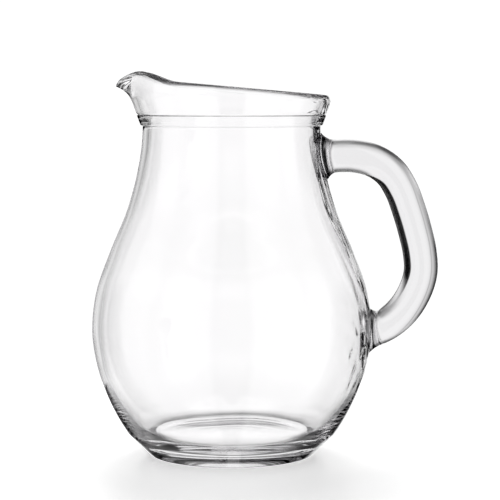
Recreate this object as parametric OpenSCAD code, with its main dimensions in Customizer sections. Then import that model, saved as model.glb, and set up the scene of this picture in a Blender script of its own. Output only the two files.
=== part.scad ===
// Clear glass water jug: round belly, waisted neck, flared rim with a pouring spout, and a solid loop handle.
// Millimetres. The origin is the centre of the base, at the height that the jug stands on.
// +Z is up, the handle points along +X and the spout along -X.

/* [Base] */
// Diameter of the foot, where the jug meets the table
foot_d = 82.4; // [81:0.2:85]
// Width of the flat ring that the jug stands on
bearing_w = 5; // [4:0.5:7]
// Height of the hollow under the base, at its middle
push_up = 1; // [0.5:0.1:3.5]
// Height of the inside floor above the table
floor_h = 8.4; // [7:0.2:12]
// Diameter of the flat part of the inside floor
floor_d = 74; // [70:1:78]

/* [Belly] */
// Diameter where the slanted heel ends and the round belly begins
heel_d = 105; // [103:0.2:106]
// Height of the top of the slanted heel
heel_h = 11.2; // [10:0.2:12]
// Largest diameter of the belly
belly_d = 140; // [136:0.5:144]
// Height of the largest diameter
belly_h = 62; // [60:1:65]
// Thickness of the glass wall
wall = 3.2; // [2.6:0.1:3.6]

/* [Neck and collar] */
// Diameter of the neck at its narrowest
neck_d = 88.6; // [87:0.2:90]
// Height where the neck ends and the collar band begins
neck_h = 164.2; // [162:0.2:166]
// Height of the collar band
band_h = 5.6; // [5:0.2:6.4]
// How far the lower edge of the band stands out of the neck
band_step = 1.2; // [0.8:0.1:1.6]
// How much wider the band is at its top than at its lower edge, on the radius
band_flare = 1.7; // [1:0.1:2]

/* [Rim and spout] */
// Height of the rim's edge above the table, halfway between handle and spout
rim_h = 183.6; // [181:0.2:186]
// Slope of the rim's edge in degrees, rising from the handle to the spout
rim_slope = 4.8; // [4:0.1:6]
// Diameter of the round part of the rim
rim_d = 98.8; // [97:0.2:100]
// How far the spout's tip stands out of the round rim
spout_reach = 8; // [6:0.2:9]
// How far the rim rises on both sides of the spout
spout_hump = 4.2; // [3:0.2:5]
// How far the spout's tip droops below those rises
spout_droop = 5.2; // [4.6:0.2:6.4]

/* [Handle] */
// Height of the middle of the handle's upper arm
arm_h = 149.2; // [148:0.2:151]
// Thickness of the handle at its thinnest, seen from the side
handle_t = 16.2; // [14.4:0.2:17]
// Width of the handle at its thinnest, seen from behind
handle_w = 18.4; // [16.4:0.2:20]
// Extra thickness of the flare where the upper arm meets the neck
root_flare = 7.4; // [5:0.2:8]

/* [Hidden] */
$fn = 96;
glass = [0.86, 0.9, 0.9, 0.45];

foot_r = foot_d / 2;
heel_r = heel_d / 2;
belly_r = belly_d / 2;
neck_r = neck_d / 2;
rim_r = rim_d / 2;

// Heights of the joins between the zones of the body
base_top = 19;
bowl_top = belly_h;
shoulder_top = 120;
band_top = neck_h + band_h;

// The outline from heel to belly and from belly to neck, as shares of the step in radius,
// at equal steps of height
BOWL_SHAPE = [0, 0.42, 0.723, 0.917, 1];
SHOULDER_SHAPE = [1, 0.91, 0.627, 0.299, 0.087, 0];

// A smooth curve between a and b, which leaves with gradient ga and arrives with gradient gb
function hermite(a, b, ga, gb, t) =
    a * (1 + 2 * t) * (1 - t) * (1 - t) + ga * t * (1 - t) * (1 - t)
    + b * t * t * (3 - 2 * t) - gb * t * t * (1 - t);

// The value u steps along a list that ends level
function gradient(list, i) =
    i == 0 ? (4 * list[1] - 3 * list[0] - list[2]) / 2
    : i == len(list) - 1 ? 0
    : (list[i + 1] - list[i - 1]) / 2;
function along(list, u) =
    let (i = min(floor(u), len(list) - 2))
    hermite(list[i], list[i + 1], gradient(list, i), gradient(list, i + 1), u - i);
function along_height(list, z, z0, z1) = along(list, min(1, (z - z0) / (z1 - z0)) * (len(list) - 1));

// Radius of the outer surface at height z, from the foot to the neck
function body_r(z) =
    z < heel_h ? foot_r + (heel_r - foot_r) * z / heel_h
    : z < belly_h ? heel_r + (belly_r - heel_r) * along_height(BOWL_SHAPE, z, heel_h, belly_h)
    : neck_r + (belly_r - neck_r) * along_height(SHOULDER_SHAPE, z, belly_h, neck_h);

// The wall gets thicker towards the base
thick_below = 45;
heel_extra = 3.2;
function wall_at(z) = wall + heel_extra * pow(max(0, (thick_below - z) / (thick_below - floor_h)), 2);
function inner_r(z) = body_r(z) - wall_at(z);

// Points of the outer and the inner outline between two heights
outline_step = 4;
function heights(z0, z1) =
    let (n = ceil((z1 - z0) / outline_step))
    [for (i = [0:n]) z0 + (z1 - z0) * i / n];
function outer_outline(z0, z1) = [for (z = heights(z0, z1)) [body_r(z), z]];
function inner_outline(z0, z1) = [for (z = heights(z0, z1)) [inner_r(z), z]];
function reversed(list) = [for (i = [len(list) - 1:-1:0]) list[i]];

// A zone of the body wall
module wall_zone(z0, z1) {
    rotate_extrude() polygon(concat(outer_outline(z0, z1), reversed(inner_outline(z0, z1))));
}

// The fillet from the floor to the inner wall is a quadratic curve, whose corner point is at floor height
fillet_steps = 5;
fillet_bulge = 1.5;
function floor_fillet(t) =
    let (start = [floor_d / 2, floor_h], corner = [inner_r(floor_h) + fillet_bulge, floor_h],
        end = [inner_r(base_top), base_top])
    start * (1 - t) * (1 - t) + corner * 2 * t * (1 - t) + end * t * t;

// The foot has a small rounded edge, and a shallow dome inside its flat ring
foot_round = 0.8;
dome_steps = 6;
dome_r = foot_r - foot_round - bearing_w;
function dome(t) = [dome_r * t, push_up * (1 - t * t)];

module base() {
    foot_edge = [
        [foot_r - foot_round, 0],
        [foot_r + foot_round / 4, foot_round / 3],
        [body_r(foot_round), foot_round]
    ];
    outline = concat(
        [for (i = [0:dome_steps]) dome(i / dome_steps)],
        foot_edge,
        outer_outline(heel_h, base_top),
        reversed([for (i = [0:fillet_steps]) floor_fillet(i / fillet_steps)]),
        [[0, floor_h]]
    );
    color(glass) rotate_extrude() polygon(outline);
}

module bowl() {
    color(glass) wall_zone(base_top, bowl_top);
}

module shoulder() {
    color(glass) wall_zone(bowl_top, shoulder_top);
}

module neck() {
    color(glass) wall_zone(shoulder_top, neck_h);
}

// The band has a rounded lower edge, widens upwards and ends in a fine groove below the rim
band_round = 1;
band_round_steps = 3;
groove = 0.4;
band_low_r = neck_r + band_step;
band_top_r = band_low_r + band_flare;

module collar_band() {
    lower_edge = [for (i = [0:band_round_steps])
        let (a = 90 * i / band_round_steps)
        [neck_r + band_step * sin(a), neck_h + band_round * (1 - cos(a))]];
    upper_edge = [[band_top_r, band_top - groove], [band_top_r - groove, band_top]];
    inside = [[band_top_r - wall, band_top], [neck_r - wall, neck_h]];
    color(glass) rotate_extrude() polygon(concat(lower_edge, upper_edge, inside));
}

// The rim: angle a runs round it from the spout, and t runs up it from the band (0) to its edge (1)
flare_h = 9;
spout_half_angle = 16;
hump_half_angle = 43.5;
hump_squareness = 5;
droop_half_angle = 14.6;
lip_curl = 3.9;
edge_r = wall / 2;
function bell(a, half_angle, squareness = 2) = exp(-pow(abs(a > 180 ? a - 360 : a) / half_angle, squareness));
function edge_h(a) =
    rim_h + rim_r * cos(a) * tan(rim_slope)
    + spout_hump * bell(a, hump_half_angle, hump_squareness)
    - spout_droop * bell(a, droop_half_angle);
function flare_r(h) = band_top_r + (rim_r - band_top_r) * sin(90 * min(1, h / flare_h));
function rim_outer(a, t) =
    let (h = (edge_h(a) - edge_r - band_top) * t)
    [flare_r(h) + spout_reach * bell(a, spout_half_angle) * pow(t, lip_curl), band_top + h];

// One upright section through the rim: up the outside, over the round edge, down the inside
rim_levels = 6;
edge_steps = 4;
rim_sides = 72;
function rim_section(a) =
    concat(
        [for (i = [0:rim_levels]) rim_outer(a, i / rim_levels)],
        [for (i = [1:edge_steps - 1])
            let (b = 180 * i / edge_steps)
            rim_outer(a, 1) + edge_r * [cos(b) - 1, sin(b)]],
        [for (i = [rim_levels:-1:0]) rim_outer(a, i / rim_levels) - [wall, 0]]
    );

module pouring_rim() {
    sections = [for (s = [0:rim_sides - 1]) rim_section(360 * s / rim_sides)];
    n = len(sections[0]);
    points = [for (s = [0:rim_sides - 1])
        let (a = 360 * s / rim_sides)
        for (p = sections[s]) [-p[0] * cos(a), -p[0] * sin(a), p[1]]];
    faces = [for (s = [0:rim_sides - 1]) for (j = [0:n - 1])
        let (here = s * n, next = (s + 1) % rim_sides * n, k = (j + 1) % n)
        for (triangle = [[here + j, next + j, next + k], [here + j, next + k, here + k]]) triangle];
    color(glass) polyhedron(points, faces);
}

// The middle line of the handle in the XZ plane, from inside the neck wall to inside the belly wall
HANDLE_LINE = [
    [38, arm_h], [50, arm_h], [61, arm_h], [70.8, 146.8], [79, 141.1], [84.6, 132.4], [88.4, 122.4],
    [91.5, 112.1], [93.9, 101.6], [94.5, 91.2], [91.6, 81.3], [86, 72.2], [78.2, 65.3], [69, 61.4],
    [59.5, 59.6]
];
handle_spans = len(HANDLE_LINE) - 1;
handle_sides = 20;
rings_per_span = 4;
rings_per_root = 10;

// The handle is split this many spans from each end of its line
root_spans = 2;

function line_gradient(i) =
    i == 0 ? HANDLE_LINE[1] - HANDLE_LINE[0]
    : i == handle_spans ? HANDLE_LINE[i] - HANDLE_LINE[i - 1]
    : (HANDLE_LINE[i + 1] - HANDLE_LINE[i - 1]) / 2;
function line_at(u) =
    let (i = min(floor(u), handle_spans - 1))
    hermite(HANDLE_LINE[i], HANDLE_LINE[i + 1], line_gradient(i), line_gradient(i + 1), u - i);
function line_direction(u) =
    let (nudge = 0.01, d = line_at(min(handle_spans, u + nudge)) - line_at(max(0, u - nudge)))
    d / norm(d);

// The handle is a little thicker in the middle, and flares where it meets the neck and the belly
handle_swell = 0.9;
neck_wall_u = 0.68;
belly_wall_u = handle_spans - 1;
upper_flare_span = 0.6;
lower_flare_span = 1.6;
flare_curve = 2.5;
function flare(beyond, span) = min(1, pow(max(0, 1 - beyond / span), flare_curve));
function handle_growth(u) =
    handle_swell * sin(180 * u / handle_spans)
    + root_flare * flare(u - neck_wall_u, upper_flare_span)
    + root_flare / 2 * flare(belly_wall_u - u, lower_flare_span);
function handle_ring(u) =
    let (p = line_at(u), d = line_direction(u), t = (handle_t + handle_growth(u)) / 2,
        w = (handle_w + handle_growth(u)) / 2)
    [for (k = [0:handle_sides - 1])
        let (a = 360 * k / handle_sides)
        [p[0] - d[1] * t * cos(a), w * sin(a), p[1] + d[0] * t * cos(a)]];

// A solid rod through the rings of the handle, from u0 to u1 along its line
module handle_rod(u0, u1, steps) {
    points = [for (i = [0:steps]) for (p = handle_ring(u0 + (u1 - u0) * i / steps)) p];
    sides = [for (i = [0:steps - 1]) for (k = [0:handle_sides - 1])
        let (here = i * handle_sides, next = here + handle_sides, n = (k + 1) % handle_sides)
        for (triangle = [[here + k, here + n, next + n], [here + k, next + n, next + k]]) triangle];
    first = [for (k = [handle_sides - 1:-1:0]) k];
    last = [for (k = [0:handle_sides - 1]) steps * handle_sides + k];
    polyhedron(points, concat(sides, [first, last]));
}

// The body without its hollow, which the handle's roots are cut to
module filled_body(z0, z1) {
    rotate_extrude() polygon(concat([[0, z0]], outer_outline(z0, z1), [[0, z1]]));
}

module handle_upper_root() {
    color(glass) difference() {
        handle_rod(0, root_spans, rings_per_root);
        filled_body(shoulder_top, neck_h);
    }
}

module handle_grip() {
    grip_spans = handle_spans - 2 * root_spans;
    color(glass) handle_rod(root_spans, root_spans + grip_spans, rings_per_span * grip_spans);
}

module handle_lower_root() {
    color(glass) difference() {
        handle_rod(handle_spans - root_spans, handle_spans, rings_per_root);
        filled_body(base_top, shoulder_top);
    }
}

base();
bowl();
shoulder();
neck();
collar_band();
pouring_rim();
handle_upper_root();
handle_grip();
handle_lower_root();
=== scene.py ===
import math

import bmesh
import bpy
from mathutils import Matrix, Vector, noise


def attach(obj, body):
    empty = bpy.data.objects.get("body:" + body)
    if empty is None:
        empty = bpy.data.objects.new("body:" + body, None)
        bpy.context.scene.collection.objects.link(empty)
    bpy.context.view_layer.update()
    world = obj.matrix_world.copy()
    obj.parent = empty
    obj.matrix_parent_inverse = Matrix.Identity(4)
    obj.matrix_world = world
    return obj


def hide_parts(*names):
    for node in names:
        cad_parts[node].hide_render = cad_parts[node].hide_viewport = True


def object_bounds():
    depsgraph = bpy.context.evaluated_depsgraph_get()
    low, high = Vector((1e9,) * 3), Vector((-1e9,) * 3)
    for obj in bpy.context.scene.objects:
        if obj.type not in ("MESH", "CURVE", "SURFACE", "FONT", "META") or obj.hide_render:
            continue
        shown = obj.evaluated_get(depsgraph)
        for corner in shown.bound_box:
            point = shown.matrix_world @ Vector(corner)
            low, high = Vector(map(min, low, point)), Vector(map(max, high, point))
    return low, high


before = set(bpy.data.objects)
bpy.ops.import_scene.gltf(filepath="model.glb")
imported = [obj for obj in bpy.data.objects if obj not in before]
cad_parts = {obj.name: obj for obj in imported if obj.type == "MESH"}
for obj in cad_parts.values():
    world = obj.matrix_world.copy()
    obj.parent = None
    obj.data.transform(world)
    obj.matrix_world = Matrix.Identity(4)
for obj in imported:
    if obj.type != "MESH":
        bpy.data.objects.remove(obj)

# Looks of a clear glass water jug: one body and one handle of glass, on a white studio floor.
# Shapes are worked out in millimetres with the same functions as the CAD, then scaled to metres.
MM = 0.001
CAD_LOW, CAD_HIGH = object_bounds()

# ---------------------------------------------------------------- sizes, in millimetres
FOOT_R, BEARING_W, PUSH_UP = 41.2, 5.0, 1.0
FLOOR_H, FLOOR_R = 8.4, 37.0
HEEL_R, HEEL_H = 52.5, 11.2
BELLY_R, BELLY_H = 70.0, 62.0
WALL = 3.2
NECK_R, NECK_H = 44.3, 164.2
BAND_H, BAND_STEP, BAND_FLARE, BAND_ROUND, GROOVE = 5.6, 1.2, 1.7, 0.7, 0.65
BAND_LOW_R = NECK_R + BAND_STEP
BAND_TOP_R = BAND_LOW_R + BAND_FLARE
BAND_TOP = NECK_H + BAND_H
RIM_H, RIM_R, RIM_SLOPE = 183.6, 49.4, 4.8
SPOUT_REACH, SPOUT_HUMP, SPOUT_DROOP = 8.0, 4.2, 5.2
SPOUT_HALF_ANGLE, HUMP_HALF_ANGLE, HUMP_SQUARENESS, DROOP_HALF_ANGLE = 16.0, 43.5, 5.0, 14.6
FLARE_H, LIP_CURL = 9.0, 3.9
EDGE_RISE, EDGE_POINT = 3.1, 1.4
FOOT_ROUND = 0.8
BASE_TOP = 19.0
THICK_BELOW, HEEL_EXTRA = 45.0, 3.2
FILLET_BULGE = 1.5
ARM_H, LOWER_ROOT_H = 149.2, 61.5
HANDLE_T, HANDLE_W, HANDLE_SWELL, ROOT_FLARE = 16.2, 18.4, 0.9, 7.4
LOWER_FLARE_SHARE, UPPER_FLARE_LENGTH, LOWER_FLARE_LENGTH, FLARE_CURVE = 0.7, 7.0, 6.0, 2.5
EMBED, ROOT_REACH = 0.35, 14.0

BOWL_SHAPE = [0, 0.42, 0.723, 0.917, 1]
SHOULDER_SHAPE = [1, 0.91, 0.627, 0.299, 0.087, 0]
HANDLE_LINE = [Vector(p) for p in (
    (38, ARM_H), (50, ARM_H), (61, ARM_H), (70.8, 146.8), (79, 141.1), (84.6, 132.4), (88.4, 122.4),
    (91.5, 112.1), (93.9, 101.6), (94.5, 91.2), (91.6, 81.3), (86, 72.2), (78.2, 65.3), (69, 61.4),
    (59.5, 59.6))]

SECTORS, RIM_LEVELS, EDGE_STEPS, FILLET_STEPS, RING_STEP = 240, 14, 16, 16, 1.6
HANDLE_SIDES, GRIP_RINGS = 56, 110

# How far the inside of the glass goes in or out, in millimetres
WIDE_WAVES, FINE_WAVES = 0.16, 0.03
RIM_BLOTCHES = 0.22
UPPER_DENT, LOWER_DENT = 1.3, 0.9
DRAG_MARKS, SWIRL_MARKS = 0.5, 0.3


# ---------------------------------------------------------------- curves shared with the CAD
def hermite(a, b, ga, gb, t):
    """A smooth curve from a to b that leaves with gradient ga and arrives with gradient gb."""
    return (a * (1 + 2 * t) * (1 - t) ** 2 + ga * t * (1 - t) ** 2
            + b * t * t * (3 - 2 * t) - gb * t * t * (1 - t))


def shape_gradient(values, i):
    """Gradient of the curve through evenly spaced values at number i, level at the last one."""
    if i == 0:
        return (4 * values[1] - 3 * values[0] - values[2]) / 2
    if i == len(values) - 1:
        return 0
    return (values[i + 1] - values[i - 1]) / 2


def along(values, share):
    """The curve through evenly spaced values, at a share of its length from 0 to 1."""
    u = min(max(share, 0), 1) * (len(values) - 1)
    i = min(int(u), len(values) - 2)
    gradient, next_gradient = shape_gradient(values, i), shape_gradient(values, i + 1)
    return hermite(values[i], values[i + 1], gradient, next_gradient, u - i)


def body_r(z):
    """Radius of the outer surface at height z, from the foot to the neck."""
    if z < HEEL_H:
        return FOOT_R + (HEEL_R - FOOT_R) * z / HEEL_H
    if z < BELLY_H:
        return HEEL_R + (BELLY_R - HEEL_R) * along(BOWL_SHAPE, (z - HEEL_H) / (BELLY_H - HEEL_H))
    return NECK_R + (BELLY_R - NECK_R) * along(SHOULDER_SHAPE, (z - BELLY_H) / (NECK_H - BELLY_H))


def inner_r(z):
    """Radius of the inner surface at height z: the wall thickens towards the heel."""
    thick = max(0, (THICK_BELOW - z) / (THICK_BELOW - FLOOR_H))
    return body_r(z) - WALL - HEEL_EXTRA * thick ** 2


def bell(angle, half_angle, squareness=2.0):
    """1 at angle 0, falling to 1/e at half_angle. A higher squareness makes the top flatter."""
    return math.exp(-(abs(angle) / half_angle) ** squareness)


def edge_h(angle):
    """Height of the rim's edge, at an angle in degrees from the spout, from -180 to 180."""
    return (RIM_H + RIM_R * math.cos(math.radians(angle)) * math.tan(math.radians(RIM_SLOPE))
            + SPOUT_HUMP * bell(angle, HUMP_HALF_ANGLE, HUMP_SQUARENESS)
            - SPOUT_DROOP * bell(angle, DROOP_HALF_ANGLE))


def rim_outer(angle, t):
    """Radius and height on the outside of the rim, t from 0 at its foot to 1 under its rounded edge."""
    h = (edge_h(angle) - EDGE_RISE - BAND_TOP) * t
    flare = BAND_TOP_R + (RIM_R - BAND_TOP_R) * math.sin(math.pi / 2 * min(1, h / FLARE_H))
    return flare + SPOUT_REACH * bell(angle, SPOUT_HALF_ANGLE) * t ** LIP_CURL, BAND_TOP + h


# ---------------------------------------------------------------- profile helpers
def rounded(points, cuts, steps=4):
    """points with each corner replaced by a short curve that starts and ends cut away from it."""
    out = [points[0]]
    for i in range(1, len(points) - 1):
        a, b, c = (Vector(p) for p in points[i - 1:i + 2])
        cut = cuts.get(i, 0)
        if not cut:
            out.append(tuple(b))
            continue
        start = b + (a - b).normalized() * min(cut, (a - b).length * 0.49)
        end = b + (c - b).normalized() * min(cut, (c - b).length * 0.49)
        for s in range(steps + 1):
            t = s / steps
            out.append(tuple(start * (1 - t) ** 2 + b * 2 * t * (1 - t) + end * t * t))
    out.append(points[-1])
    return out


def steps_between(z0, z1, step):
    """Even heights from z0 to z1, at most step apart."""
    n = max(1, math.ceil((z1 - z0) / step))
    return [z0 + (z1 - z0) * i / n for i in range(n + 1)]


def spread_evenly(points, longest):
    """points with more put in wherever two are further apart than longest."""
    out = [points[0]]
    for p, q in zip(points, points[1:]):
        n = max(1, math.ceil(math.dist(p, q) / longest))
        out += [tuple(a + (b - a) * i / n for a, b in zip(p, q)) for i in range(1, n + 1)]
    return out


def underside():
    """From the middle of the hollow under the base to the top of the slanted heel."""
    dome_r = FOOT_R - FOOT_ROUND - BEARING_W
    dome = [(dome_r * t, PUSH_UP * (1 - t * t)) for t in (0.02, 0.2, 0.4, 0.6, 0.75, 0.88, 1)]
    corners = dome + [(FOOT_R, 0), (HEEL_R, HEEL_H), (body_r(14), 14)]
    foot, heel = len(dome), len(dome) + 1
    curve = rounded(corners, {foot - 1: 1.2, foot: 1.0, heel: 1.6}, 6)
    return spread_evenly(curve, 3.0)


def outer_wall():
    """From above the heel to just under the collar band."""
    return [(body_r(z), z) for z in steps_between(15.2, NECK_H - 1.6, RING_STEP)]


def band_outside():
    """The collar band: a rounded step out, a flared face and a fine groove under the rim."""
    corners = [(body_r(NECK_H - 1.2), NECK_H - 1.2), (NECK_R, NECK_H)]
    for i in range(1, 7):
        a = math.radians(15 * i)
        corners.append((NECK_R + BAND_STEP * math.sin(a), NECK_H + BAND_ROUND * (1 - math.cos(a))))
    top = len(corners)
    corners += [(BAND_TOP_R, BAND_TOP - 0.4), (BAND_TOP_R - GROOVE, BAND_TOP - 0.05)]
    corners.append((BAND_TOP_R, BAND_TOP + 0.25))
    return rounded(corners, {1: 0.4, top: 0.2, top + 1: 0.08})


def inner_wall():
    """From the rim's foot down the inside to the middle of the floor."""
    wall = [(BAND_TOP_R - WALL, BAND_TOP), (NECK_R - WALL, NECK_H), (inner_r(NECK_H - 6), NECK_H - 6)]
    wall = rounded(wall, {1: 2.4})[1:]
    wall += [(inner_r(z), z) for z in reversed(steps_between(BASE_TOP, NECK_H - 7.5, RING_STEP))]
    start = Vector((inner_r(BASE_TOP), BASE_TOP))
    corner = Vector((inner_r(FLOOR_H) + FILLET_BULGE, FLOOR_H))
    end = Vector((FLOOR_R, FLOOR_H))
    for s in range(1, FILLET_STEPS + 1):
        t = s / FILLET_STEPS
        wall.append(tuple(start * (1 - t) ** 2 + corner * 2 * t * (1 - t) + end * t * t))
    return wall + [(r, FLOOR_H) for r in (34, 31, 27, 22, 16, 10, 5, 1)]


def rim_section(angle):
    """Up the outside of the rim, over its rounded edge and down the inside."""
    up = [rim_outer(angle, i / RIM_LEVELS) for i in range(1, RIM_LEVELS + 1)]
    top_r, top_z = up[-1]
    half = WALL / 2
    edge = []
    for i in range(1, EDGE_STEPS):
        across, rise = math.cos(math.pi * i / EDGE_STEPS), math.sin(math.pi * i / EDGE_STEPS)
        across = math.copysign(abs(across) ** EDGE_POINT, across)
        edge.append((top_r + half * (across - 1), top_z + EDGE_RISE * rise ** EDGE_POINT))
    down = [(r - WALL, z) for r, z in reversed(up)]
    return up + edge + down


def unevenness(x, y, z):
    """How far out the inside lies, in millimetres: pressed glass is never quite even."""
    wide = noise.noise(Vector((x, y, z * 0.45)) / 26)
    fine = noise.noise(Vector((x, y, z * 0.6)) / 9 + Vector((7, 3, 1)))
    return WIDE_WAVES * wide + FINE_WAVES * fine


def angle_from_handle(x, y):
    return abs(math.degrees(math.atan2(y, x)))


def fade(value, low, high):
    """0 at low and 1 at high, smooth between. Low may be the larger number."""
    t = min(1, max(0, (value - low) / (high - low)))
    return t * t * (3 - 2 * t)


def rim_marks(x, y, z):
    """How far out the inside of the rim lies, in millimetres, near the handle, where it was reheated."""
    off, top = angle_from_handle(x, y), edge_h(180)
    blotch = noise.noise(Vector((x / 9, y / 7, z / 6)))
    blotch += 0.4 * noise.noise(Vector((x / 5, y / 4, z / 3.5 + 5)))
    return RIM_BLOTCHES * blotch * fade(off, 62, 20) * fade(z, BAND_TOP, BAND_TOP + 3) * fade(z, top, top - 4)


def handle_marks(x, y, z):
    """How far the wall is pushed in, in millimetres, where the hot handle was stuck on and dragged down."""
    off = angle_from_handle(x, y)
    upper = UPPER_DENT * math.exp(-(off / 13) ** 2 - ((z - ARM_H) / 11) ** 2)
    lower = LOWER_DENT * math.exp(-(off / 9) ** 2 - ((z - LOWER_ROOT_H) / 10) ** 2)
    drag = noise.noise(Vector((y / 4.5, z / 34, 2.0))) + 0.5 * noise.noise(Vector((y / 2.2, z / 20, 9.0)))
    drag *= DRAG_MARKS * fade(off, 34, 12) * fade(z, 40, 65) * fade(z, 168, 150)
    swirl = noise.noise(Vector((y / 6, z / 8, 4.0))) + 0.5 * noise.noise(Vector((y / 3, z / 4.5, 6.0)))
    swirl *= SWIRL_MARKS * fade(off, 46, 30) * fade(z, 32, 44) * fade(z, 78, 64)
    return upper + lower + drag + swirl


# ---------------------------------------------------------------- meshes
def skin(name, rings):
    """A closed mesh over rings of equally many points, with a fan over the first and the last ring."""
    n = len(rings[0])
    points = [p for ring in rings for p in ring]
    faces = []
    for i in range(len(rings) - 1):
        for k in range(n):
            a, b = i * n + k, i * n + (k + 1) % n
            faces.append((a, b, b + n, a + n))
    for ring, first in ((rings[0], 0), (rings[-1], len(points) - n)):
        middle = sum((Vector(p) for p in ring), Vector()) / n
        points.append(tuple(middle))
        for k in range(n):
            a, b = first + k, first + (k + 1) % n
            faces.append((b, a, len(points) - 1) if first == 0 else (a, b, len(points) - 1))
    mesh = bpy.data.meshes.new(name)
    mesh.from_pydata([tuple(c * MM for c in p) for p in points], [], faces)
    mesh.polygons.foreach_set("use_smooth", [True] * len(mesh.polygons))
    shell = bmesh.new()
    shell.from_mesh(mesh)
    bmesh.ops.recalc_face_normals(shell, faces=shell.faces)
    shell.to_mesh(mesh)
    shell.free()
    piece = bpy.data.objects.new(name, mesh)
    bpy.context.scene.collection.objects.link(piece)
    return piece


def make_body():
    """The whole body as one mesh: each column runs up the outside, over the edge and down the inside."""
    below, above = underside() + outer_wall() + band_outside(), inner_wall()
    columns = []
    for s in range(SECTORS):
        angle = 360 * s / SECTORS
        angle = angle - 360 if angle > 180 else angle
        a = math.radians(angle)
        profile = below + rim_section(angle) + above
        column = []
        for j, (r, z) in enumerate(profile):
            x, y = -r * math.cos(a), -r * math.sin(a)
            if j >= len(profile) - len(above) and r > 5:
                grow = (unevenness(x, y, z) * min(1, (BAND_TOP - z) / 8) - handle_marks(x, y, z)) / r
                x, y = x * (1 + grow), y * (1 + grow)
            elif j >= len(profile) - len(above) - RIM_LEVELS:
                grow = rim_marks(x, y, z) / r
                x, y = x * (1 + grow), y * (1 + grow)
            column.append((x, y, z))
        columns.append(column)
    rings = [[columns[s][j] for s in range(SECTORS)] for j in range(len(columns[0]))]
    return skin("glass_body", rings)


def line_at(u):
    """The handle's middle line at u, where whole numbers are its points, as (distance out, height)."""
    last = len(HANDLE_LINE) - 1
    i = min(int(u), last - 1)

    def gradient(k):
        if k == 0:
            return HANDLE_LINE[1] - HANDLE_LINE[0]
        if k == last:
            return HANDLE_LINE[k] - HANDLE_LINE[k - 1]
        return (HANDLE_LINE[k + 1] - HANDLE_LINE[k - 1]) / 2
    return hermite(HANDLE_LINE[i], HANDLE_LINE[i + 1], gradient(i), gradient(i + 1), u - i)


def line_direction(u):
    """The direction of the handle's middle line at u."""
    last = len(HANDLE_LINE) - 1
    return (line_at(min(last, u + 0.01)) - line_at(max(0, u - 0.01))).normalized()


def to_wall(p, d):
    """The point where the line through p along d crosses the outer surface of the body."""
    lo, hi = -30.0, 30.0
    for _ in range(40):
        mid = (lo + hi) / 2
        q = p + d * mid
        if math.hypot(q.x, q.y) < body_r(q.z):
            lo = mid
        else:
            hi = mid
    return p + d * lo


def handle_ring(u, share=1.0, weld=0.0):
    """One ring of the handle: an ellipse across its middle line, wider by weld where it meets the wall."""
    c, d = line_at(u), line_direction(u)
    swell = HANDLE_SWELL * math.sin(math.pi * u / (len(HANDLE_LINE) - 1))
    t, w = (HANDLE_T + swell + weld) / 2 * share, (HANDLE_W + swell + weld) / 2 * share
    ring = []
    for k in range(HANDLE_SIDES):
        a = 2 * math.pi * k / HANDLE_SIDES
        ring.append(Vector((c.x - d.y * t * math.cos(a), w * math.sin(a), c.y + d.x * t * math.cos(a))))
    return ring


def wrapped(ring, u, beyond, blend):
    """The ring bent to follow the wall, beyond millimetres outside it. blend 1 follows it, 0 stays flat."""
    d2 = line_direction(u)
    out = Vector((d2.x, 0, d2.y))
    if out.x < 0:
        out = -out
    return [p.lerp(to_wall(p, out) + out * beyond, blend) for p in ring]


# Steps along the handle's middle line: to find the wall, to measure a root, and from a root to the grip
FIND_STEP, ROOT_STEP, GRIP_GAP = 0.01, 0.005, 0.16
# Where the search for the wall starts, in points from either end of the line
FIND_FROM = 0.3


def wall_crossing(u, step):
    """Where the handle's middle line leaves the body, looking from u along the line."""
    for _ in range(200):
        p = line_at(u)
        if p.x > body_r(p.y):
            break
        u += step
    return u


def root_rings(first_u, outward, flare, flare_length):
    """The rings from the middle of the end face, inside the wall, to where the handle is a plain rod."""
    wall_u = wall_crossing(first_u, outward * FIND_STEP)
    rings = [wrapped(handle_ring(wall_u, share, flare), wall_u, -EMBED, 1)
             for share in (0.04, 0.3, 0.55, 0.75, 0.9, 0.97)]
    along_line, u = 0.0, wall_u
    for beyond in (-EMBED, 0, 0.2, 0.45, 0.75, 1.1, 1.5, 2, 2.6, 3.3, 4.1, 5, 6, 7, 8.2, 9.5, 11, 12.5):
        while along_line < beyond:
            u += outward * ROOT_STEP
            along_line += (line_at(u) - line_at(u - outward * ROOT_STEP)).length
        weld = flare * max(0, 1 - max(0, beyond) / flare_length) ** FLARE_CURVE
        rings.append(wrapped(handle_ring(u, 1, weld), u, beyond, fade(beyond, ROOT_REACH, 0)))
    return rings, u + outward * GRIP_GAP


def make_handle():
    """The whole handle as one mesh, from its upper root along the loop to its lower root."""
    upper, u0 = root_rings(FIND_FROM, 1, ROOT_FLARE, UPPER_FLARE_LENGTH)
    lower_flare = ROOT_FLARE * LOWER_FLARE_SHARE
    line_end = len(HANDLE_LINE) - 1
    lower, u1 = root_rings(line_end - FIND_FROM, -1, lower_flare, LOWER_FLARE_LENGTH)
    middle = [handle_ring(u0 + (u1 - u0) * i / GRIP_RINGS) for i in range(GRIP_RINGS + 1)]
    rings = upper + middle + lower[::-1]
    return skin("glass_handle", [[tuple(p) for p in ring] for ring in rings])


# ---------------------------------------------------------------- materials
def new_material(name):
    """An empty material with one shader, as (material, node tree, shader, output)."""
    material = bpy.data.materials.new(name)
    material.use_nodes = True
    tree = material.node_tree
    tree.nodes.clear()
    output = tree.nodes.new("ShaderNodeOutputMaterial")
    shader = tree.nodes.new("ShaderNodeBsdfPrincipled")
    tree.links.new(shader.outputs["BSDF"], output.inputs["Surface"])
    return material, tree, shader, output


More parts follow.
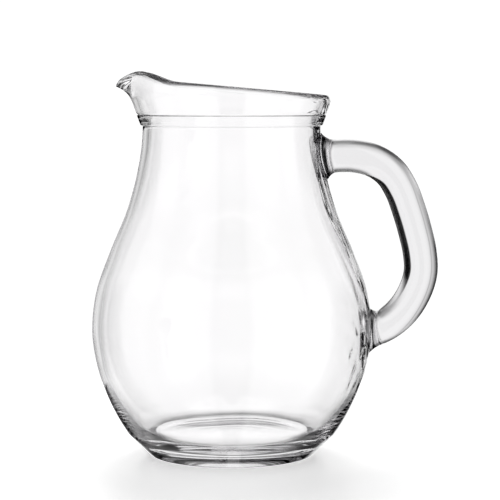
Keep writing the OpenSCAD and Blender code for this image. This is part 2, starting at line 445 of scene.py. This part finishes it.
def glass_material(name, wave_size, wave_depth, density):
    """Clear glass with faint waves, in metres, a trace of haze along them and a grey body colour."""
    material, tree, shader, output = new_material(name)
    nodes, link = tree.nodes, tree.links.new
    shader.inputs["Transmission Weight"].default_value = 1.0
    shader.inputs["IOR"].default_value = 1.52
    place = nodes.new("ShaderNodeTexCoord")
    stretch = nodes.new("ShaderNodeMapping")
    stretch.inputs["Scale"].default_value = (1, 1, 0.35)
    link(place.outputs["Object"], stretch.inputs["Vector"])
    waves = nodes.new("ShaderNodeTexNoise")
    waves.inputs["Scale"].default_value = 1 / wave_size
    waves.inputs["Detail"].default_value = 1.0
    link(stretch.outputs["Vector"], waves.inputs["Vector"])
    bump = nodes.new("ShaderNodeBump")
    bump.inputs["Strength"].default_value = 1.0
    bump.inputs["Distance"].default_value = wave_depth
    link(waves.outputs["Fac"], bump.inputs["Height"])
    link(bump.outputs["Normal"], shader.inputs["Normal"])
    haze = nodes.new("ShaderNodeMapRange")
    haze.inputs["To Min"].default_value = 0.0
    haze.inputs["To Max"].default_value = 0.012
    link(waves.outputs["Fac"], haze.inputs["Value"])
    link(haze.outputs["Result"], shader.inputs["Roughness"])
    tint = nodes.new("ShaderNodeMapRange")
    tint.data_type = "FLOAT_VECTOR"
    # the node's vector sockets have the numbers 6, 9 and 10: their names are those of its number sockets
    value_in, darkest, lightest = tint.inputs[6], tint.inputs[9], tint.inputs[10]
    darkest.default_value, lightest.default_value = (0.99, 0.984, 0.992), (1.0, 1.0, 1.0)
    link(waves.outputs["Fac"], value_in)
    link(tint.outputs[1], shader.inputs["Base Color"])
    absorb = nodes.new("ShaderNodeVolumeAbsorption")
    absorb.inputs["Color"].default_value = (0.80, 0.796, 0.803, 1)
    absorb.inputs["Density"].default_value = density
    link(absorb.outputs["Volume"], output.inputs["Volume"])
    return material


def floor_material():
    """White acrylic with a soft gloss and painted light: a glow under the jug, painted shadow as less glow
    just round it, and most glow further out.
    """
    material, tree, shader, _ = new_material("studio_floor")
    shader.inputs["Base Color"].default_value = (0.86, 0.86, 0.86, 1)
    shader.inputs["Roughness"].default_value = 0.30
    shader.inputs["Emission Color"].default_value = (1, 1, 1, 1)
    place = tree.nodes.new("ShaderNodeTexCoord")
    away = tree.nodes.new("ShaderNodeVectorMath")
    away.operation = "LENGTH"
    tree.links.new(place.outputs["Object"], away.inputs[0])
    # painted light: the emission lightens the floor under the jug and keeps it white further out, and less of
    # it just round the jug is painted shadow
    near_painted_glow = smooth_step(tree, away.outputs["Value"], *NEAR_FADE, PAINTED_GLOW_NEAR, PAINTED_GLOW_IN_SHADOW)
    glow = smooth_step(tree, away.outputs["Value"], *FAR_FADE, near_painted_glow, PAINTED_GLOW_FAR)
    tree.links.new(glow, shader.inputs["Emission Strength"])
    return material


# ---------------------------------------------------------------- studio
# The floor's painted light (its glow, with a painted shadow just round the jug) and where it changes, in
# metres from the jug's axis
PAINTED_GLOW_NEAR, PAINTED_GLOW_IN_SHADOW, PAINTED_GLOW_FAR = 0.40, 0.27, 0.68
NEAR_FADE, FAR_FADE = (0.045, 0.095), (0.12, 0.22)
FLOOR_RADIUS, FLOOR_SIDES, FLOOR_DROP = 0.24, 96, 0.0002


def make_floor():
    """A round sheet that the jug stands on. Beyond its edge the studio is just as white."""
    rim = [(FLOOR_RADIUS * math.cos(a), FLOOR_RADIUS * math.sin(a), CAD_LOW.z - FLOOR_DROP)
           for a in (2 * math.pi * k / FLOOR_SIDES for k in range(FLOOR_SIDES))]
    mesh = bpy.data.meshes.new("studio_floor")
    mesh.from_pydata(rim, [], [tuple(range(FLOOR_SIDES))])
    floor = bpy.data.objects.new("studio_floor", mesh)
    bpy.context.scene.collection.objects.link(floor)
    mesh.materials.append(floor_material())
    floor.visible_transmission = floor.visible_glossy = False


def feed(tree, socket, value):
    """Puts a number or another node's output into a socket."""
    if isinstance(value, (int, float)):
        socket.default_value = value
    else:
        tree.links.new(value, socket)


def math_node(tree, operation, *values):
    """The result of an operation on one or two numbers or outputs of other nodes."""
    node = tree.nodes.new("ShaderNodeMath")
    node.operation = operation
    for socket, value in zip(node.inputs, values):
        feed(tree, socket, value)
    return node.outputs[0]


def smooth_step(tree, value, low, high, out_low, out_high):
    """out_low where value is under low, out_high where it is over high, smooth between."""
    node = tree.nodes.new("ShaderNodeMapRange")
    node.interpolation_type = "SMOOTHSTEP"
    numbers = {"Value": value, "From Min": low, "From Max": high, "To Min": out_low, "To Max": out_high}
    for name, number in numbers.items():
        feed(tree, node.inputs[name], number)
    return node.outputs["Result"]


def mixed(tree, share, a, b):
    """a where share is 0 and b where it is 1."""
    node = tree.nodes.new("ShaderNodeMix")
    for name, value in (("Factor", share), ("A", a), ("B", b)):
        feed(tree, node.inputs[name], value)
    return node.outputs["Result"]


# What the camera sees behind the jug, and the brightest level that a curve of the studio may reach
WHITE, BRIGHTEST = 1.06, 1.3
# How bright the studio is round the jug, as (degrees from +Y towards +X, level): AROUND is seen through
# the glass, MIRRORED is seen in reflections and lights the floor
AROUND = (
    (-180, 0.6), (-110, 0.6), (-101, 1.1), (-79, 1.1), (-72, 0.1), (-50, 0.1), (-42, 0.2), (-36, 0.38),
    (-32, 0.56), (-28, 0.72), (-24.5, 0.78), (-23.5, 0.58), (-21.5, 0.58), (-20.5, 0.88), (-15, 1.04),
    (-10, 1.09), (22, 1.09), (27, 1.05), (30.5, 0.01), (52, 0.01), (62, 0.3), (90, 0.4), (112, 0.4),
    (119, 1.0), (139, 1.0), (144, 0.6))
MIRRORED = (
    (-180, 0.0), (-166, 0.0), (-160, 1.0), (-125, 1.0), (-112, 0.8), (-34, 0.8), (-24, 0.05),
    (-15, 0.03), (-9, 1.1), (9, 1.1), (15, 0.9), (19, 0.03), (52, 0.03), (62, 0.6), (125, 1.0),
    (160, 1.0), (166, 0.0))
# The same through the glass below and above it, as (degrees above the horizon, level)
BELOW = (
    (-90, 0.85), (-58, 0.95), (-52, 0.7), (-47, 0.34), (-41, 0.3), (-36, 0.42), (-32, 0.6), (-29, 0.78),
    (-25, 0.88), (-22, 0.98), (-18, 1.08))
ABOVE = (
    (25, 1.05), (29, 0.82), (33, 0.62), (38, 0.4), (44, 0.17), (54, 0.07), (60, 0.1), (65, 0.85), (90, 0.9))
# The number of lights below, the share of their level between them, and the share of the level above
# that is left over the dark panels
BELOW_LIGHTS, BELOW_GAP, ABOVE_GAP = 8, 0.6, 0.03
# Where the lights below and the ones above fade into the panels, as heights on a sphere of radius 1
BELOW_FADE, ABOVE_FADE = (-0.42, -0.20), (0.34, 0.60)


def level_ramp(tree, share, stops_wanted):
    """A colour ramp as a brightness curve: stops_wanted are (share, level) pairs."""
    ramp = tree.nodes.new("ShaderNodeValToRGB")
    tree.links.new(share, ramp.inputs["Fac"])
    stops = ramp.color_ramp.elements
    for i, (position, level) in enumerate(stops_wanted):
        stop = stops[i] if i < 2 else stops.new(position)
        stop.position = position
        stop.color = (level / BRIGHTEST,) * 3 + (1,)
    return math_node(tree, "MULTIPLY", ramp.outputs["Color"], BRIGHTEST)


def make_world():
    """A white studio, where the glass shows soft panels with dark gaps, and lights above and below."""
    world = bpy.data.worlds.new("studio")
    bpy.context.scene.world = world
    world.use_nodes = True
    tree = world.node_tree
    tree.nodes.clear()
    link = tree.links.new
    output = tree.nodes.new("ShaderNodeOutputWorld")
    background = tree.nodes.new("ShaderNodeBackground")
    link(background.outputs[0], output.inputs["Surface"])
    place = tree.nodes.new("ShaderNodeTexCoord")
    split = tree.nodes.new("ShaderNodeSeparateXYZ")
    link(place.outputs["Generated"], split.inputs[0])
    x, y, z = split.outputs
    turn = math_node(tree, "DIVIDE", math_node(tree, "ARCTAN2", x, y), 2 * math.pi)
    share = math_node(tree, "ADD", turn, 0.5)
    panels = level_ramp(tree, share, [(a / 360 + 0.5, v) for a, v in AROUND])
    mirrored = level_ramp(tree, share, [(a / 360 + 0.5, v) for a, v in MIRRORED])
    rays = tree.nodes.new("ShaderNodeLightPath")
    wave = math_node(tree, "COSINE", math_node(tree, "MULTIPLY", turn, 2 * math.pi * BELOW_LIGHTS))
    ring = smooth_step(tree, wave, -1.0, 0.5, BELOW_GAP, 1.0)
    depth = level_ramp(tree, math_node(tree, "MULTIPLY", z, -1),
                       [(-math.sin(math.radians(e)), v) for e, v in BELOW[::-1]])
    height = level_ramp(tree, z, [(math.sin(math.radians(e)), v) for e, v in ABOVE])
    low_light = math_node(tree, "MULTIPLY", ring, depth)
    high_light = math_node(tree, "MULTIPLY", height, smooth_step(tree, panels, 0.0, 0.3, ABOVE_GAP, 1.0))
    light = smooth_step(tree, z, *BELOW_FADE, low_light, panels)
    light = smooth_step(tree, z, *ABOVE_FADE, light, high_light)
    light = mixed(tree, rays.outputs["Is Reflection Ray"], light, mirrored)
    link(mixed(tree, rays.outputs["Is Camera Ray"], light, WHITE), background.inputs["Strength"])
    background.inputs["Color"].default_value = (1, 1, 1, 1)


# Strength, and degrees for its width and its tilt from straight down
BACK_LIGHT, BACK_LIGHT_WIDTH, BACK_LIGHT_TILT = 1.75, 30, 45


def make_back_light():
    """A wide soft light from behind and above, which only the floor's shading and shadow show."""
    data = bpy.data.lights.new("back_light", "SUN")
    data.angle = math.radians(BACK_LIGHT_WIDTH)
    data.energy = BACK_LIGHT
    lamp = bpy.data.objects.new("back_light", data)
    lamp.rotation_euler = (-math.radians(BACK_LIGHT_TILT), 0, 0)
    lamp.visible_glossy = lamp.visible_transmission = False
    bpy.context.scene.collection.objects.link(lamp)


# The camera's place in metres, the angle in degrees that it looks down, and its lens in millimetres
CAMERA_PLACE, CAMERA_TILT = (0.0091, -0.900, 0.180), 4.94
LENS, SENSOR = 130, 36


def make_camera():
    data = bpy.data.cameras.new("camera")
    data.lens, data.sensor_width = LENS, SENSOR
    camera = bpy.data.objects.new("camera", data)
    camera.location = CAMERA_PLACE
    camera.rotation_euler = (math.radians(90 - CAMERA_TILT), 0, 0)
    bpy.context.scene.collection.objects.link(camera)
    bpy.context.scene.camera = camera
    data.clip_end = 200


# The camera's contrast curve as (brightness in, brightness out): it darkens lines and keeps pale greys
CONTRAST = ((0.04, 0.006), (0.1, 0.04), (0.25, 0.17), (0.5, 0.46), (0.75, 0.75))


def set_contrast():
    """Sets the contrast curve for all three colours alike: that curve comes after the red, green and blue."""
    view = bpy.context.scene.view_settings
    view.view_transform = "Standard"
    view.use_curve_mapping = True
    *_, curve = view.curve_mapping.curves
    for point in CONTRAST:
        curve.points.new(*point)
    view.curve_mapping.update()


def deep_light_paths():
    """Thick glass needs more reflections inside it than usual before a path of light is given up."""
    cycles = bpy.context.scene.cycles
    cycles.max_bounces, cycles.glossy_bounces, cycles.transmission_bounces = 48, 44, 24


# ---------------------------------------------------------------- assembly
body = make_body()
body.data.materials.append(glass_material("body_glass", 0.045, 0.00004, 12))
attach(body, "root")
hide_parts("base", "bowl", "shoulder", "neck", "collar_band", "pouring_rim")

handle = make_handle()
handle.data.materials.append(glass_material("handle_glass", 0.03, 0.00003, 54))
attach(handle, "root")
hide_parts("handle_upper_root", "handle_grip", "handle_lower_root")

make_floor()
make_world()
make_back_light()
make_camera()
set_contrast()
deep_light_paths()
